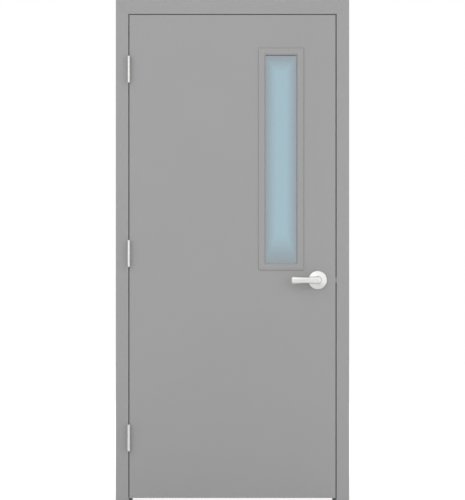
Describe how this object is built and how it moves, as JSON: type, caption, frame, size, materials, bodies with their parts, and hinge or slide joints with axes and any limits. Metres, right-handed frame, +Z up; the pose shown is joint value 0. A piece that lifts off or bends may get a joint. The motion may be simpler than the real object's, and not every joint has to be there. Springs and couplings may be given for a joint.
{
  "type": "door with frame",
  "caption": "Flush hollow-steel door in a pressed-steel frame, with a tall narrow lite, butt hinges, a lever latch and a strike; the leaf swings and the lever draws the latch.",
  "frame": {"origin": "On the floor, midway between the two jambs and midway through the frame's depth.", "axes": "+Z up, +X from the hinge side to the lock side, +Y from the pull side, which the picture shows, to the push side."},
  "size_m": [1.026, 0.2065, 2.21],
  "materials": {
    "grey_primer": "flat grey factory primer on galvanised sheet",
    "zinc_steel": "galvanised or zinc-plated steel",
    "satin_steel": "satin steel",
    "tinted_glass": "flat glass with a blue-green tint",
    "rubber": "matt grey rubber"
  },
  "bodies": {
    "frame": {"hinge_jamb": "grey_primer", "strike_jamb": "grey_primer", "frame_head": "grey_primer", "hinge_floor_anchor": "zinc_steel", "strike_floor_anchor": "zinc_steel", "bottom_frame_hinge_plate": "zinc_steel", "middle_frame_hinge_plate": "zinc_steel", "top_frame_hinge_plate": "zinc_steel", "bottom_frame_leaf": "satin_steel", "middle_frame_leaf": "satin_steel", "top_frame_leaf": "satin_steel", "bottom_hinge_pin": "satin_steel", "middle_hinge_pin": "satin_steel", "top_hinge_pin": "satin_steel", "frame_hinge_screws": "satin_steel", "strike_plate": "satin_steel", "strike_reinforcement": "zinc_steel", "strike_box": "zinc_steel", "strike_screws": "satin_steel", "bottom_silencer": "rubber", "middle_silencer": "rubber", "top_silencer": "rubber"},
    "door": {"front_sheet": "grey_primer", "back_sheet": "grey_primer", "top_channel": "zinc_steel", "bottom_channel": "zinc_steel", "core_stiffener_1": "zinc_steel", "core_stiffener_2": "zinc_steel", "core_stiffener_3": "zinc_steel", "core_stiffener_4": "zinc_steel", "bottom_door_hinge_plate": "zinc_steel", "middle_door_hinge_plate": "zinc_steel", "top_door_hinge_plate": "zinc_steel", "bottom_door_leaf": "satin_steel", "middle_door_leaf": "satin_steel", "top_door_leaf": "satin_steel", "door_hinge_screws": "satin_steel", "front_lite_frame": "grey_primer", "back_lite_frame": "grey_primer", "lite_glass": "tinted_glass", "front_glazing_tape": "rubber", "back_glazing_tape": "rubber", "lite_screws": "zinc_steel", "lock_reinforcement": "zinc_steel", "latch_case": "zinc_steel", "latch_face_plate": "satin_steel", "latch_screws": "satin_steel", "latch_spring": "satin_steel", "outside_rose": "satin_steel", "inside_rose": "satin_steel", "outside_rose_plate": "zinc_steel", "inside_rose_plate": "zinc_steel", "lever_springs": "satin_steel", "rose_bolts": "zinc_steel"},
    "levers": {"outside_lever": "satin_steel", "inside_lever": "satin_steel", "spindle": "zinc_steel", "latch_hub": "zinc_steel", "lever_grub_screws": "zinc_steel"},
    "latch": {"latch_bolt": "satin_steel"}
  },
  "joints": [
    {"name": "door_swing", "type": "hinge", "parent": "frame", "child": "door", "pos_m": [-0.4554, -0.092, 1.0939], "axis": [0, 0, -1], "range_deg": [0, 175]},
    {"name": "lever_turn", "type": "hinge", "parent": "door", "child": "levers", "pos_m": [0.37441, -0.05075, 0.977], "axis": [0, -1, 0], "range_deg": [0, 45], "stiffness_Nm_per_rad": 1.5, "springref_deg": -28.65},
    {"name": "latch_slide", "type": "slide", "parent": "door", "child": "latch", "axis": [-1, 0, 0], "range_m": [0, 0.0128], "deforming": ["latch_spring"]}
  ],
  "couplings": [
    {"joint": "latch_slide", "follows": "lever_turn", "m_per_rad": 0.01617}
  ]
}
